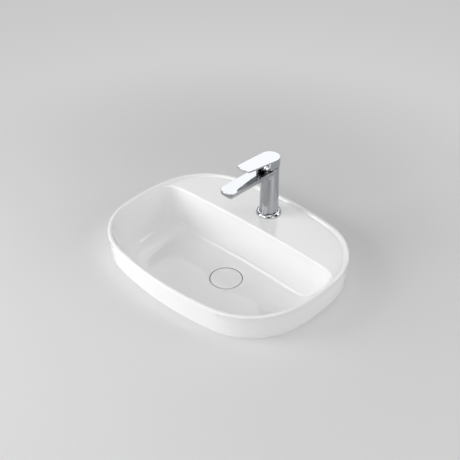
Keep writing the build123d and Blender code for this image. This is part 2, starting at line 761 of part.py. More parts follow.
with BuildPart() as cartridge_housing:
    ring(tap_level(housing_low), roof_low - housing_low, housing_outer, cartridge_inner)
    ring(tap_level(roof_low), cartridge_roof, housing_outer, neck_inner)
    ring(tap_level(nut_seat), neck_height, neck_outer, neck_inner)
    with BuildSketch(tap_level(roof_low - cartridge_window_height)):
        with Locations((0, -housing_outer / 2)):
            Rectangle(cartridge_window_width, housing_outer / 2)
    extrude(amount=cartridge_window_height, mode=Mode.SUBTRACT)
finish(cartridge_housing, "cartridge_housing")

with BuildPart() as cartridge_carrier:
    ring(tap_level(carrier_flange_low), carrier_flange_height, cartridge_inner - 2 * running_gap)
    ring(tap_level(carrier_flange_low), carrier_top - carrier_flange_low, neck_inner - 2 * running_gap)
    with BuildSketch(tap_level(carrier_flange_low)):
        Rectangle(stem_slot_width, stem_slot_length)
    extrude(amount=carrier_top - carrier_flange_low, mode=Mode.SUBTRACT)
    with BuildSketch(Plane((0, tap_setback, landing_height + pivot_height), z_dir=(1, 0, 0))):
        Circle(pivot_pin_diameter / 2 + pin_gap)
    extrude(amount=neck_inner, both=True, mode=Mode.SUBTRACT)
finish(cartridge_carrier, "cartridge_carrier")

with BuildPart() as cartridge_pin:
    with BuildSketch(Plane((0, tap_setback, landing_height + pivot_height), z_dir=(1, 0, 0))):
        Circle(pivot_pin_diameter / 2)
    extrude(amount=pivot_pin_length / 2, both=True)
finish(cartridge_pin, "cartridge_pin")

# Stem: leans forward while the lever is shut, and its ball drives the coupler
pivot = Plane((0, tap_setback, landing_height + pivot_height))
stem_axis = Plane(pivot.origin, x_dir=(1, 0, 0), z_dir=(0, -sin(radians(stem_lean)), cos(radians(stem_lean))))
with BuildPart() as cartridge_stem:
    with BuildSketch(stem_axis):
        Rectangle(stem_width, stem_width)
    extrude(amount=stem_reach)
    with BuildSketch(Plane(pivot.origin, z_dir=(1, 0, 0))):
        Circle(stem_eye_diameter / 2)
    extrude(amount=stem_width / 2, both=True)
    with BuildSketch(stem_axis):
        Circle(stem_shank_diameter / 2)
    extrude(amount=-stem_arm)
    with Locations(stem_axis.offset(-stem_arm).origin):
        Sphere(stem_ball_diameter / 2)
    with BuildSketch(Plane(pivot.origin, z_dir=(1, 0, 0))):
        Circle(pivot_pin_diameter / 2 + pin_gap)
    extrude(amount=stem_width, both=True, mode=Mode.SUBTRACT)
finish(cartridge_stem, "cartridge_stem")

with BuildPart() as cartridge_nut:
    ring(tap_level(nut_seat), nut_height, nut_bore_diameter - 2 * fit_gap, nut_hole_diameter)
    with BuildSketch(tap_level(nut_seat + nut_height)):
        with PolarLocations(nut_bore_diameter / 2, nut_notches, start_angle=45):
            Rectangle(nut_bore_diameter / 4, nut_notch_width)
    extrude(amount=-nut_notch_depth, mode=Mode.SUBTRACT)
finish(cartridge_nut, "cartridge_nut")


def on_ball(radius, height):
    """Point on a ball round the pivot at a height, as radius and height."""
    return (sqrt(radius ** 2 - (height - pivot_height) ** 2), height)


# Chromed dome that covers the nut and stands in the mouth of the body
ball_inner = dome_radius - dome_thickness
collar_low = nut_seat + nut_height + fit_gap
collar = nut_bore_diameter / 2 - fit_gap
dome_low = tap_body_height + dome_rim_step
dome_high = pivot_height + dome_opening_rise
dome_middle = (dome_low + dome_high) / 2
with BuildPart() as cartridge_dome:
    with BuildSketch(Plane((0, tap_setback, landing_height), x_dir=(1, 0, 0), z_dir=(0, -1, 0))):
        with BuildLine():
            ThreePointArc(on_ball(dome_radius, dome_low), on_ball(dome_radius, dome_middle),
                          on_ball(dome_radius, dome_high))
            Line(on_ball(dome_radius, dome_high), on_ball(ball_inner, dome_high))
            ThreePointArc(on_ball(ball_inner, dome_high), on_ball(ball_inner, dome_middle),
                          on_ball(ball_inner, dome_low))
            Polyline(on_ball(ball_inner, dome_low), (on_ball(ball_inner, dome_low)[0], collar_low),
                     (collar, collar_low), (collar, dome_low), on_ball(dome_radius, dome_low))
        make_face()
    revolve(axis=Axis((0, tap_setback, 0), (0, 0, 1)))
finish(cartridge_dome, "cartridge_dome")

# Lever: a paddle over a skirt, hollow round the dome, with a socket for the stem
top_rise = tan(radians(lever_slope))
skirt_rise = tan(radians(lever_skirt_slope))
lever_top = pivot_height + lever_top_rise
lever_skirt_low = tap_body_height + lever_skirt_gap
lever_bore_height = pivot_height + lever_bore_rise
lever_window_top = lever_top - lever_window_drop
beyond = lever_reach + overshoot
grub_height = pivot_height + grub_screw_height * cos(radians(stem_lean))
grub_ahead = grub_screw_height * sin(radians(stem_lean))
indicator_seat = lever_width / 2 - indicator_thickness - indicator_sink
with BuildPart() as lever:
    with BuildSketch(tap_level(0)):
        draw_arcs(paddle(lever_width / 2, lever_side_radius, lever_side_toe, lever_reach, lever_tip_radius,
                         lever_corner_radius))
    extrude(amount=lever_top + lever_reach)
    with BuildSketch(tap_side):
        with BuildLine():
            Polyline((-lever_width, lever_skirt_low - lever_width * skirt_rise),
                     (-lever_width, lever_top - lever_width * top_rise),
                     (beyond, lever_top + beyond * top_rise),
                     (beyond, lever_top + beyond * top_rise - lever_tip_thickness),
                     (lever_skirt_front, lever_top + lever_skirt_front * top_rise - lever_root_thickness),
                     (lever_skirt_front, lever_skirt_low + lever_skirt_front * skirt_rise), close=True)
        make_face()
    extrude(amount=lever_width, both=True, mode=Mode.INTERSECT)
    fillet(lever.faces().filter_by(Plane.XY, reverse=True).sort_by(Axis.Z)[-1].edges(), lever_edge_radius)
    # Hollow round the dome: a bore in the skirt, and a ball centred on the pivot
    ring(tap_level(pivot_height), lever_bore_height - pivot_height, lever_skirt_bore, mode=Mode.SUBTRACT)
    with Locations(pivot):
        Sphere(dome_radius + dome_clearance, mode=Mode.SUBTRACT)
    # Window in the front of the skirt, round the boss that holds the stem
    with BuildSketch(tap_level(lever_bore_height / 2)):
        Rectangle(lever_window_width, lever_reach / 2, align=(Align.CENTER, Align.MAX))
        with Locations((0, lever_boss_setback)):
            Circle(lever_boss_diameter / 2, mode=Mode.SUBTRACT)
    extrude(amount=lever_window_top - lever_bore_height / 2, mode=Mode.SUBTRACT)
    # Socket for the stem, hole for its grub screw and seat for the indicator
    with BuildSketch(stem_axis):
        Rectangle(stem_width + 2 * fit_gap, stem_width + 2 * fit_gap)
    extrude(amount=stem_reach + fit_gap, mode=Mode.SUBTRACT)
    with BuildSketch(Plane((0, tap_setback - grub_ahead, landing_height + grub_height), z_dir=(0, 1, 0))):
        Circle(grub_screw_diameter / 2 + fit_gap)
    extrude(amount=lever_width, mode=Mode.SUBTRACT)
    with BuildSketch(Plane((0, tap_setback + indicator_seat, landing_height + grub_height), z_dir=(0, 1, 0))):
        Circle(indicator_diameter / 2 + fit_gap)
    extrude(amount=lever_width, mode=Mode.SUBTRACT)
finish(lever, "lever")

grub_start = (stem_width / 2 / cos(radians(stem_lean)) - grub_ahead + fit_gap
              + grub_screw_diameter / 2 * tan(radians(stem_lean)))
with BuildPart() as lever_grub_screw:
    with BuildSketch(Plane((0, tap_setback + grub_start, landing_height + grub_height), z_dir=(0, 1, 0))):
        Circle(grub_screw_diameter / 2)
    extrude(amount=grub_screw_length)
    with BuildSketch(lever_grub_screw.faces().sort_by(Axis.Y)[-1]):
        RegularPolygon(grub_key_diameter / 2, 6)
    extrude(amount=-grub_screw_length / 2, mode=Mode.SUBTRACT)
finish(lever_grub_screw, "lever_grub_screw")

with BuildPart() as lever_indicator:
    with BuildSketch(Plane((0, tap_setback + indicator_seat, landing_height + grub_height), z_dir=(0, 1, 0))):
        Circle(indicator_diameter / 2)
    extrude(amount=indicator_thickness)
    chamfer(lever_indicator.faces().sort_by(Axis.Y)[-1].edges(), indicator_edge)
finish(lever_indicator, "lever_indicator")


def draw_clamp():
    """Horseshoe that spans the tap hole from below and leaves the inlets free."""
    Circle(clamp_diameter / 2)
    with Locations((0, clamp_slot_back)):
        Rectangle(clamp_slot_width, clamp_diameter, align=(Align.CENTER, Align.MAX), mode=Mode.SUBTRACT)
    with Locations((0, stud_setback)):
        Circle(stud_diameter / 2 + running_gap, mode=Mode.SUBTRACT)


# Fixing: stud, rubber horseshoe, clamp plate and nut
with BuildPart() as tap_stud:
    with BuildSketch(tap_level(spigot_low - stud_length_below)):
        with Locations((0, stud_setback)):
            Circle(stud_diameter / 2)
    extrude(amount=stud_length_below + stud_depth_in_body - stud_end_gap)
    chamfer(tap_stud.faces().sort_by(Axis.Z)[0].edges(), stud_edge)
finish(tap_stud, "tap_stud")

with BuildPart() as tap_rubber_washer:
    with BuildSketch(tap_level(rubber_low)):
        draw_clamp()
    extrude(amount=rubber_thickness)
finish(tap_rubber_washer, "tap_rubber_washer")

with BuildPart() as tap_clamp_plate:
    with BuildSketch(tap_level(clamp_low)):
        draw_clamp()
    extrude(amount=clamp_thickness)
finish(tap_clamp_plate, "tap_clamp_plate")

with BuildPart() as tap_fixing_nut:
    with BuildSketch(tap_level(fixing_nut_low)):
        with Locations((0, stud_setback)):
            RegularPolygon(fixing_nut_flats / 2, 6, major_radius=False)
            Circle(stud_diameter / 2 + fit_gap, mode=Mode.SUBTRACT)
    extrude(amount=fixing_nut_height)
finish(tap_fixing_nut, "tap_fixing_nut")
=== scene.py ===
import bpy
from math import atan2, cos, pi, radians, sin, sqrt, tan
from mathutils import Matrix, Vector


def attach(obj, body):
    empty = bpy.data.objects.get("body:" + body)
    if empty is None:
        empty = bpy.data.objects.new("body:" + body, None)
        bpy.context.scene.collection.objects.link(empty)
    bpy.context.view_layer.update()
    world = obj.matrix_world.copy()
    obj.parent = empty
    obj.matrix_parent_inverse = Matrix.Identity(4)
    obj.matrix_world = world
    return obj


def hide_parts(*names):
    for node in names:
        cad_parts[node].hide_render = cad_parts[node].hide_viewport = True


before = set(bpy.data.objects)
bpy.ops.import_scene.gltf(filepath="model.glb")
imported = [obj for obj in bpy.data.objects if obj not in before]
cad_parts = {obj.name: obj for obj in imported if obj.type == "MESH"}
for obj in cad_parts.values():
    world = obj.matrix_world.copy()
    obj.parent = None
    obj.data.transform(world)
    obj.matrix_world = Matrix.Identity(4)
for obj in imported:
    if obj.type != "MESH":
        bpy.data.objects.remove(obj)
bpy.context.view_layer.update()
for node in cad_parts.values():
    node.select_set(False)

# Basin: one casting of glazed fireclay, slip cast in plaster and fired with a white gloss glaze.
# Its rim stands on the benchtop, the bowl hangs through it, and the shelf behind the bowl carries
# the tap. Every outline is eight arcs that run into each other without a corner.
basin_half_length, basin_half_width = 265.0, 205.0
side_radius, end_radius, corner_radius = 745, 400, 150
foot_in_at_ends, foot_in_at_sides = 2, 5
rim_height, rim_width, rim_rounding = 58.0, 8.0, 3.0
landing_height, landing_front, landing_rounding, landing_cove = 52.0, 75.0, 4.0, 2.5
bowl_floor, bowl_wall = -57.0, 8.0
end_draft, end_sweep, front_draft, front_sweep = 14, 62, 17, 60
back_draft, back_sweep, back_radius = 3.5, 16, 3200
back_corner, back_corner_gain = 36, 26
quarter_turn = range(0, 91, 15)


def millimetres(*lengths):
    """Lengths in millimetres as a vector in metres."""
    return Vector(lengths) * 0.001


def arc_between(first, second, radius):
    """The arc of that radius that touches two others from inside, on the right-hand side."""
    (ax, ay, ar), (bx, by, br) = first, second
    near, far = ar - radius, br - radius
    apart = sqrt((bx - ax) ** 2 + (by - ay) ** 2)
    along = (near ** 2 - far ** 2 + apart ** 2) / (2 * apart)
    across = sqrt(near ** 2 - along ** 2)
    ux, uy = (bx - ax) / apart, (by - ay) / apart
    x, y = max((ax + along * ux + s * across * uy, ay + along * uy - s * across * ux) for s in (1, -1))
    return (x, y, radius)


def heading(start, end):
    """The direction of the point where one arc runs into the next, seen from the arc's centre."""
    outer, inner = (start, end) if start[2] > end[2] else (end, start)
    return atan2(inner[1] - outer[1], inner[0] - outer[0])


def eight_arcs(half_length, front, back, side, ends, corner, back_side, back_corner):
    """Front, right front corner, right end, right back corner, back, and the same on the left."""
    front_arc, end_arc = (0, side - front, side), (half_length - ends, 0, ends)
    back_arc = (0, back - back_side, back_side)
    right = [arc_between(end_arc, front_arc, corner), end_arc, arc_between(end_arc, back_arc, back_corner)]
    return [front_arc, *right, back_arc, *[(-x, y, r) for x, y, r in reversed(right)]]


def walk(arcs, shares):
    """Points round an outline, at those shares of each arc."""
    points = []
    for before, arc, after, stops in zip(arcs[-1:] + arcs[:-1], arcs, arcs[1:] + arcs[:1], shares):
        start = heading(before, arc)
        turn = (heading(arc, after) - start) % (2 * pi)
        points += [(arc[0] + arc[2] * cos(start + turn * s), arc[1] + arc[2] * sin(start + turn * s))
                   for s in stops]
    return points


def oval(end_inset, side_inset):
    """The basin's own outline, drawn in by so much."""
    mean, depth = (end_inset + side_inset) / 2, basin_half_width - side_inset
    return eight_arcs(basin_half_length - end_inset, depth, depth, side_radius - mean, end_radius - mean,
                      corner_radius - mean, side_radius - mean, corner_radius - mean)


def drawn_in(height, top, draft, sweep):
    """How far a wall of the bowl has come in: straight, then sweeping into the floor."""
    lean = radians(draft)
    turn = bowl_floor + sweep * (1 - sin(lean))
    if height >= turn:
        return (top - height) * tan(lean)
    drop = min(1, (bowl_floor + sweep - height) / sweep)
    return (top - turn) * tan(lean) + sweep * (cos(lean) - sqrt(1 - drop * drop))


def end_slope(height):
    """How far the bowl's ends have come in at a height."""
    return drawn_in(height, rim_height, end_draft, end_sweep)


def front_slope(height):
    """How far the bowl's front has come in at a height."""
    return drawn_in(height, rim_height, front_draft, front_sweep)


def bowl(height, grow=0):
    """The bowl's outline at a height, grown by the wall for its outer face."""
    end_in, front_in = end_slope(height), front_slope(height)
    back_in = drawn_in(height, landing_height, back_draft, back_sweep)
    mean = rim_width + (end_in + front_in) / 2
    corner = back_corner + back_corner_gain * end_in / end_slope(bowl_floor)
    below = landing_rounding - (landing_height - height)
    edge_in = 0
    if below > 0 and not grow:
        edge_in = landing_rounding - sqrt(landing_rounding ** 2 - below ** 2)
    return eight_arcs(basin_half_length - rim_width - end_in + grow,
                      basin_half_width - rim_width - front_in + grow,
                      landing_front - back_in + edge_in + grow, side_radius - mean + grow,
                      end_radius - mean + grow, corner_radius - mean + grow, back_radius, corner + grow)


def even(count, low=0.0, high=1.0):
    """Evenly spaced shares from low up to, but not at, high."""
    return [low + (high - low) * i / count for i in range(count)]


# The rim's and the bowl's rings have the same points on the front and the ends, and as many as each
# other along the back. The rim's end arcs are divided where the landing's front edge leaves them.
front_stops, corner_stops, end_stops = even(64), even(40), even(18)
rim_corner_stops, rim_back_stops, past_landing = even(34), even(50), 10
bowl_corner_stops, bowl_back_stops = even(26), even(86)
bowl_shares = [front_stops, corner_stops, end_stops, bowl_corner_stops, bowl_back_stops, bowl_corner_stops,
               end_stops, corner_stops]
inner_wall_in = 10
mouth, rim_inside = bowl(landing_height), oval(inner_wall_in, inner_wall_in)
end_turn = -heading(rim_inside[1], rim_inside[2])
leaves = (heading(mouth[2], mouth[3]) + end_turn) / (2 * end_turn)
right_end_stops = even(len(end_stops), 0, leaves) + even(past_landing, leaves, 1)
left_end_stops = even(past_landing, 0, 1 - leaves) + even(len(end_stops), 1 - leaves, 1)
oval_shares = [front_stops, corner_stops, right_end_stops, rim_corner_stops, rim_back_stops, rim_corner_stops,
               left_end_stops, corner_stops]
front_count = len(front_stops) + len(corner_stops) + len(end_stops)
ring_count = len(walk(mouth, bowl_shares))
behind = range(front_count, ring_count - front_count + len(front_stops))
cove_fades_over = 12
rings = []


def add_ring(points, height):
    """One more ring of the casting's skin, which runs from the rim's foot round to where it began."""
    rings.append([(x, y, height) for x, y in points])


def wall_ring(height, cove=0.0):
    """The rim's inner wall at a height, with the cove along the landing's back."""
    end_in, side_in = rim_width + end_slope(height), rim_width + front_slope(height)
    plain = walk(oval(end_in, side_in), oval_shares)
    coved = walk(oval(end_in + cove, side_in + cove), oval_shares)
    for i in behind:
        near = min(1, (i - behind[0]) / cove_fades_over, (behind[-1] - i) / cove_fades_over)
        share = near * near * (3 - 2 * near)
        plain[i] = tuple(p + (c - p) * share for p, c in zip(plain[i], coved[i]))
    return plain


# Outer wall, the rim's two rounded edges, and the inner wall with its cove
outer_wall_heights = (0, 18, 36, 54.6)
for height in outer_wall_heights:
    lean = 1 - height / rim_height
    add_ring(walk(oval(foot_in_at_ends * lean, foot_in_at_sides * lean), oval_shares), height)
for angle in quarter_turn:
    inset = rim_rounding * (1 - cos(radians(angle)))
    add_ring(walk(oval(inset, inset), oval_shares), rim_height - rim_rounding * (1 - sin(radians(angle))))
for angle in quarter_turn:
    inset = rim_width - rim_rounding * (1 - sin(radians(angle)))
    height = rim_height - rim_rounding * (1 - cos(radians(angle)))
    ease = angle / 90 * end_slope(rim_height - rim_rounding)
    add_ring(walk(oval(inset + ease, inset + ease), oval_shares), height)
for angle in quarter_turn:
    height = landing_height + landing_cove * (1 - sin(radians(angle)))
    add_ring(wall_ring(height, landing_cove * (1 - cos(radians(angle)))), height)
# The landing lies between the wall's foot and the bowl's back edge. In front the two are one line.
edge = walk(mouth, bowl_shares)
foot = [point if i in behind else edge[i] for i, point in enumerate(wall_ring(landing_height, landing_cove))]
rings[-1] = [(x, y, landing_height) for x, y in foot]
for share in (0.006, 0.2, 0.5, 0.8, 0.994):
    add_ring([(fx + (ex - fx) * share, fy + (ey - fy) * share) for (fx, fy), (ex, ey) in zip(foot, edge)],
             landing_height)
for angle in range(0, 90, 15):
    height = landing_height - landing_rounding * (1 - cos(radians(angle)))
    add_ring(walk(bowl(height), bowl_shares), height)
# The bowl's walls, with rings close together where the ends and the back sweep into the floor
sweep_heights = [bowl_floor + end_sweep * (1 - sin(radians(angle))) for angle in range(14, 90, 4)]
sweep_heights += [bowl_floor + back_sweep * (1 - sin(radians(angle))) for angle in range(4, 88, 7)]
wall_heights = [landing_height - landing_rounding, 40, 30, 20, 10]
for height in wall_heights + sorted(sweep_heights, reverse=True) + [bowl_floor]:
    add_ring(walk(bowl(height), bowl_shares), height)

# Floor, falling to the waste, then the recess for the plug, the hole for the waste and the boss
floor_fall = 3
recess_radius, recess_floor, recess_edge = 37.5, -73.0, 1.0
waste_hole_radius = 23
boss_radius, boss_bottom, boss_chamfer = 45, -84, 1
boss_top_radius, boss_top, boss_root_radius = 47.8, -66, 48.5
floor_ring = [(x, y) for x, y, z in rings[-1]]


def circle(radius):
    """A ring of points round the waste, each in line with its fellow on the bowl's floor."""
    return [(radius * cos(atan2(y, x)), radius * sin(atan2(y, x))) for x, y in floor_ring]


def between(first, second, share):
    """A ring part of the way from one ring to another."""
    return [(ax + (bx - ax) * share, ay + (by - ay) * share) for (ax, ay), (bx, by) in zip(first, second)]


for share in (0.03, 0.1, 0.2, 0.35, 0.5, 0.65, 0.8, 0.9, 0.97):
    add_ring(between(floor_ring, circle(recess_radius + recess_edge), share),
             bowl_floor - floor_fall * share ** 1.5)
for angle in range(0, 91, 18):
    add_ring(circle(recess_radius + recess_edge * (1 - sin(radians(angle)))),
             bowl_floor - floor_fall - recess_edge * (1 - cos(radians(angle))))
for radius, height in ((recess_radius, recess_floor), (waste_hole_radius, recess_floor),
                       (waste_hole_radius, boss_bottom), (boss_radius, boss_bottom),
                       (boss_radius + boss_chamfer, boss_bottom + boss_chamfer), (boss_top_radius, boss_top)):
    add_ring(circle(radius), height)
# Outer face of the bowl, from the boss up to the benchtop. The wall's drop fades out towards the rim.
outer_floor = walk(bowl(bowl_floor, bowl_wall), bowl_shares)
for share in (0.04, 0.2, 0.5, 0.8, 0.97):
    add_ring([(bx * (1 - share) + ox * share, by * (1 - share) + oy * share)
              for (bx, by), (ox, oy) in zip(circle(boss_root_radius), outer_floor)], bowl_floor - bowl_wall)
drop_fades_at = 14.5
at_benchtop = round(bowl_wall * drop_fades_at / (drop_fades_at - bowl_floor + bowl_wall), 3)
for height in sorted(h for h in sweep_heights + [bowl_floor] if h < 0) + [at_benchtop]:
    drop = bowl_wall * (drop_fades_at - height) / (drop_fades_at - bowl_floor)
    add_ring(walk(bowl(height, bowl_wall), bowl_shares), height - drop)


def new_piece(name, points, faces):
    """A new object of that name, from points in millimetres and the faces between them."""
    mesh = bpy.data.meshes.new(name)
    mesh.from_pydata([tuple(millimetres(*point)) for point in points], [], faces)
    piece = bpy.data.objects.new(name, mesh)
    bpy.context.scene.collection.objects.link(piece)
    return piece


skin = []
for number in range(len(rings)):
    here, there = number * ring_count, (number + 1) % len(rings) * ring_count
    for i in range(ring_count):
        j = (i + 1) % ring_count
        skin.append((here + i, here + j, there + j, there + i))
basin = new_piece("basin_glazed", [point for ring in rings for point in ring], skin)


def edit(piece, *steps):
    """Runs operators on the whole of one piece in edit mode."""
    bpy.ops.object.select_all(action="DESELECT")
    bpy.context.view_layer.objects.active = piece
    piece.select_set(True)
    bpy.ops.object.mode_set(mode="EDIT")
    bpy.ops.mesh.select_all(action="SELECT")
    for step, settings in steps:
        step(**settings)
    bpy.ops.object.mode_set(mode="OBJECT")


edit(basin, (bpy.ops.mesh.remove_doubles, {"threshold": 2e-6}),
     (bpy.ops.mesh.dissolve_degenerate, {"threshold": 1e-6}),
     (bpy.ops.mesh.normals_make_consistent, {"inside": False}))


def cut_away(piece, cutter):
    """Takes the cutter's shape out of a piece and throws the cutter away."""
    modifier = piece.modifiers.new("cut", "BOOLEAN")
    modifier.operation, modifier.object, modifier.solver = "DIFFERENCE", cutter, "EXACT"
    bpy.ops.object.select_all(action="DESELECT")
    bpy.context.view_layer.objects.active = piece
    piece.select_set(True)
    bpy.ops.object.modifier_apply(modifier=modifier.name)
    bpy.data.objects.remove(cutter)


# Pocket under the landing, open from below so that the tap's nut can be reached, and the tap's hole
pocket_in_at_ends, pocket_in_at_back, pocket_front = 14, 17, 83
pocket_below, pocket_top = -5, 43
pocket_outline = [(x, y) for x, y in walk(oval(pocket_in_at_ends, pocket_in_at_back), oval_shares)
                  if y > pocket_front]
count = len(pocket_outline)
pocket = new_piece("pocket", [(x, y, z) for z in (pocket_below, pocket_top) for x, y in pocket_outline],
                   [tuple(range(count))[::-1], tuple(range(count, 2 * count))]
                   + [(i, (i + 1) % count, count + (i + 1) % count, count + i) for i in range(count)])
cut_away(basin, pocket)
tap_hole_radius, tap_hole_place = 0.0175, (0, 0.14, 0.05)
bpy.ops.mesh.primitive_cylinder_add(vertices=96, radius=tap_hole_radius, depth=0.03, location=tap_hole_place)
cut_away(basin, bpy.context.object)


def smooth(piece, degrees):
    """Shades a piece smooth, apart from edges sharper than that."""
    bpy.ops.object.select_all(action="DESELECT")
    bpy.context.view_layer.objects.active = piece
    piece.select_set(True)
    bpy.ops.object.shade_smooth_by_angle(angle=radians(degrees))


smooth(basin, 30)


def linear(code):
    """An sRGB hex colour as the linear colour that Blender takes."""
    parts = [int(code[i:i + 2], 16) / 255 for i in (1, 3, 5)]
    return [p / 12.92 if p <= 0.04045 else ((p + 0.055) / 1.055) ** 2.4 for p in parts] + [1.0]


def add_node(owner, kind, settings=(), links=()):
    """Adds a node to a material or the world, with its settings, and links each (output, input)."""
    node = owner.node_tree.nodes.new(kind)
    for name, value in dict(settings).items():
        if name in node.inputs:
            node.inputs[name].default_value = value
        else:
            setattr(node, name, value)
    for output, name in links:
        owner.node_tree.links.new(output, node.inputs[name])
    return node


def new_material(name, **settings):
    """A material of that name and its surface shader."""
    material = bpy.data.materials.new(name)
    material.use_nodes = True
    shader = material.node_tree.nodes["Principled BSDF"]
    for socket, value in settings.items():
        shader.inputs[socket.replace("_", " ")].default_value = value
    return material, shader


# White gloss glaze: a clear glassy skin over a white body. It mirrors softly, and pools a little
# unevenly, so that reflections waver over 20 to 40 mm.
glaze, shader = new_material("white_gloss_glaze", Base_Color=linear("#F3F3F3"), Roughness=0.05, IOR=1.5)
place = add_node(glaze, "ShaderNodeTexCoord")
pool = add_node(glaze, "ShaderNodeTexNoise", {"Scale": 30.0, "Detail": 1.0},
                [(place.outputs["Object"], "Vector")])
waver = add_node(glaze, "ShaderNodeBump", {"Strength": 0.05, "Distance": 0.001},
                 [(pool.outputs["Fac"], "Height")])
glaze.node_tree.links.new(waver.outputs["Normal"], shader.inputs["Normal"])
grain = add_node(glaze, "ShaderNodeMapRange", {"To Min": 0.03, "To Max": 0.08},
                 [(pool.outputs["Fac"], "Value")])
glaze.node_tree.links.new(grain.outputs["Result"], shader.inputs["Roughness"])
basin.data.materials.append(glaze)

# Painted shade: the recess round the plug is coloured dark grey below its edge. It is rough, with a bump
# grain about 1 mm across. The dark colour is painted shade. It deepens the real shade of the narrow gap,
# which the eye sees as a line round the cap.
gap_shade_paint, shader = new_material("painted_shade_in_gap", Base_Color=linear("#3A3A39"), Roughness=0.9)
place = add_node(gap_shade_paint, "ShaderNodeTexCoord")
grit = add_node(gap_shade_paint, "ShaderNodeTexNoise", {"Scale": 1000.0, "Detail": 2.0},
                [(place.outputs["Object"], "Vector")])
relief = add_node(gap_shade_paint, "ShaderNodeBump", {"Strength": 0.4, "Distance": 0.0002},
                  [(grit.outputs["Fac"], "Height")])
gap_shade_paint.node_tree.links.new(relief.outputs["Normal"], shader.inputs["Normal"])
basin.data.materials.append(gap_shade_paint)
# Painted shade: the faces of the recess below the plug's edge take the dark colour.
shade_paint_below, shade_paint_radius = -0.0605, 0.0377
for face in basin.data.polygons:
    x, y, z = face.center
    if x * x + y * y < shade_paint_radius ** 2 and z < shade_paint_below:
        face.material_index = 1
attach(basin, "basin_and_tap")
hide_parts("basin")


def finish_nodes(material, *names):
    """Gives CAD nodes a material in place of their own."""
    for name in names:
        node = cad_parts[name]
        node.data.materials.clear()
        node.data.materials.append(material)


# Plug cap: a disc of the same fireclay under the same white glaze, bonded to the waste's metal
# carrier. It lies flush with the bowl's floor and rises with the catch under it.
finish_nodes(glaze, "plug_cap")

# Tap: brass castings for the body and the lever, turned brass for the rings, all ground, polished
# and chromium plated. The body stands in its flared ring on the landing, the dome screws into the
# body over the cartridge, and the lever sits on the stem with its skirt round the dome.

# Bright chromium over nickel: a mirror that takes back about half of the light, a touch cool. Hand
# polishing leaves it very slightly uneven over a few centimetres.
chrome, shader = new_material("polished_chrome", Base_Color=linear("#BABCBF"), Roughness=0.03, Metallic=1.0)
place = add_node(chrome, "ShaderNodeTexCoord")
polish = add_node(chrome, "ShaderNodeTexNoise", {"Scale": 45.0, "Detail": 1.0},
                  [(place.outputs["Object"], "Vector")])
waver = add_node(chrome, "ShaderNodeBump", {"Strength": 0.03, "Distance": 0.001},
                 [(polish.outputs["Fac"], "Height")])
chrome.node_tree.links.new(waver.outputs["Normal"], shader.inputs["Normal"])
haze = add_node(chrome, "ShaderNodeMapRange", {"To Min": 0.02, "To Max": 0.05},
                [(polish.outputs["Fac"], "Value")])
chrome.node_tree.links.new(haze.outputs["Result"], shader.inputs["Roughness"])


def plated(name, body, degrees):
    """A smooth copy of a turned or cast piece: its facets are merged and its flats kept flat."""
    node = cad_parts[name]
    piece = bpy.data.objects.new(name + "_plated", node.data.copy())
    bpy.context.scene.collection.objects.link(piece)
    edit(piece, (bpy.ops.mesh.remove_doubles, {"threshold": 1e-6}),
         (bpy.ops.mesh.dissolve_degenerate, {"threshold": 1e-6}))
    smooth(piece, degrees)
    modifier = piece.modifiers.new("flats", "WEIGHTED_NORMAL")
    modifier.keep_sharp, modifier.weight = True, 100
    bpy.ops.object.modifier_apply(modifier=modifier.name)
    piece.data.materials.clear()
    piece.data.materials.append(chrome)
    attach(piece, body)
    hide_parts(name)


plated("tap_base_ring", "basin_and_tap", 25)
plated("tap_body", "basin_and_tap", 25)
plated("cartridge_dome", "basin_and_tap", 30)
plated("lever", "lever", 30)
plated("aerator_housing", "basin_and_tap", 30)


def surface(name, colour, size, rough, relief, metal=0.0, grain=(1, 1, 1)):
    """A material whose gloss and relief vary over patches of that size in millimetres."""
    material, shader = new_material(name, Base_Color=linear(colour), Metallic=metal)
    place = add_node(material, "ShaderNodeTexCoord")
    stretch = add_node(material, "ShaderNodeMapping", {"Scale": grain}, [(place.outputs["Object"], "Vector")])
    patches = add_node(material, "ShaderNodeTexNoise", {"Scale": 1000 / size, "Detail": 3.0},
                       [(stretch.outputs["Vector"], "Vector")])
    bump = add_node(material, "ShaderNodeBump", {"Strength": relief, "Distance": 0.0002},
                    [(patches.outputs["Fac"], "Height")])
    gloss = add_node(material, "ShaderNodeMapRange", {"To Min": rough[0], "To Max": rough[1]},
                     [(patches.outputs["Fac"], "Value")])
    material.node_tree.links.new(bump.outputs["Normal"], shader.inputs["Normal"])
    material.node_tree.links.new(gloss.outputs["Result"], shader.inputs["Roughness"])
    return material


# Brass pieces under the plug, the bench and the dome: the waste with its back nut, the catch, the
# cartridge's nut and stem, and the tap's stud and nut, turned from bar and left bare.
# Free-cutting brass, turned: rings of fine tool marks, drawn 0.4 mm apart so that they show.
turned_brass = surface("turned_brass", "#B8A06A", 6, (0.22, 0.38), 0.15, metal=1.0, grain=(1, 1, 15))
finish_nodes(turned_brass, "waste_body", "waste_back_nut", "plug_carrier", "plug_plunger", "click_barrel",
             "cartridge_stem", "cartridge_nut", "tap_stud", "tap_fixing_nut")

# Steel pieces: the spring of the catch, the cartridge's pin, the grub screw and the clamp plate,
# drawn or pressed and zinc plated or stainless.
# Plated steel: a grey satin with a faint cloudiness from the bath, a few millimetres across.
plated_steel = surface("zinc_plated_steel", "#B2B5B8", 3, (0.28, 0.42), 0.1, metal=1.0)
finish_nodes(plated_steel, "click_spring", "cartridge_pin", "lever_grub_screw", "tap_clamp_plate")

# Seals and gaskets of the waste, the tap and the cartridge, moulded or punched, and pressed between
# the pieces that they seal.
# EPDM rubber: near black and matt, with the fine grain of a moulded skin, drawn 0.5 mm across.
moulded_rubber = surface("epdm_rubber", "#232323", 0.5, (0.6, 0.8), 0.3)
finish_nodes(moulded_rubber, "plug_seal", "waste_flange_gasket", "waste_lower_gasket", "tap_base_gasket",
             "aerator_seal", "cartridge_port_seals", "tap_rubber_washer")

